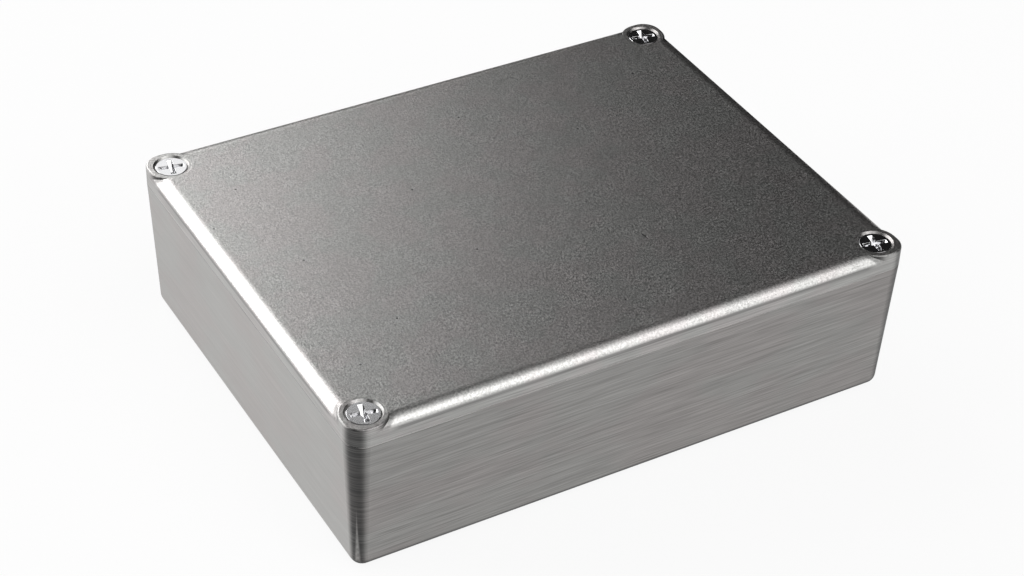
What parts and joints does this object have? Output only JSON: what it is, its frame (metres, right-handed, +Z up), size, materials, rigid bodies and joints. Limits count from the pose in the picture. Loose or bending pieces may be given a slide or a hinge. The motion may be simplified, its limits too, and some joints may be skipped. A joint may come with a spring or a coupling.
{
  "type": "die cast aluminium box",
  "caption": "Shallow rectangular cast aluminium box with drafted walls, and a flat lid with rolled edges held down by a countersunk screw in each round corner pad.",
  "frame": {"origin": "centre of the footprint, on the surface that the box rests on", "axes": "+X along the long sides, +Y towards the rear long side, +Z up through the lid"},
  "size_m": [0.1194, 0.094, 0.034],
  "materials": {
    "base_casting": "bare cast aluminium, finely brushed along the walls",
    "lid_casting": "bare cast aluminium with a fine pebbled top",
    "screw_steel": "bright plated steel"
  },
  "bodies": {
    "base": {"base": "base_casting"},
    "lid": {"lid": "lid_casting"},
    "cover_screw_front_left": {"cover_screw_front_left": "screw_steel"},
    "cover_screw_front_right": {"cover_screw_front_right": "screw_steel"},
    "cover_screw_rear_left": {"cover_screw_rear_left": "screw_steel"},
    "cover_screw_rear_right": {"cover_screw_rear_right": "screw_steel"}
  },
  "joints": [
    {"name": "lid_lift", "type": "slide", "parent": "base", "child": "lid", "axis": [0, 0, 1], "range_m": [0, 0.06]},
    {"name": "front_left_screw_out", "type": "slide", "parent": "lid", "child": "cover_screw_front_left", "axis": [0, 0, 1], "range_m": [0, 0.014]},
    {"name": "front_right_screw_out", "type": "slide", "parent": "lid", "child": "cover_screw_front_right", "axis": [0, 0, 1], "range_m": [0, 0.014]},
    {"name": "rear_left_screw_out", "type": "slide", "parent": "lid", "child": "cover_screw_rear_left", "axis": [0, 0, 1], "range_m": [0, 0.014]},
    {"name": "rear_right_screw_out", "type": "slide", "parent": "lid", "child": "cover_screw_rear_right", "axis": [0, 0, 1], "range_m": [0, 0.014]}
  ]
}
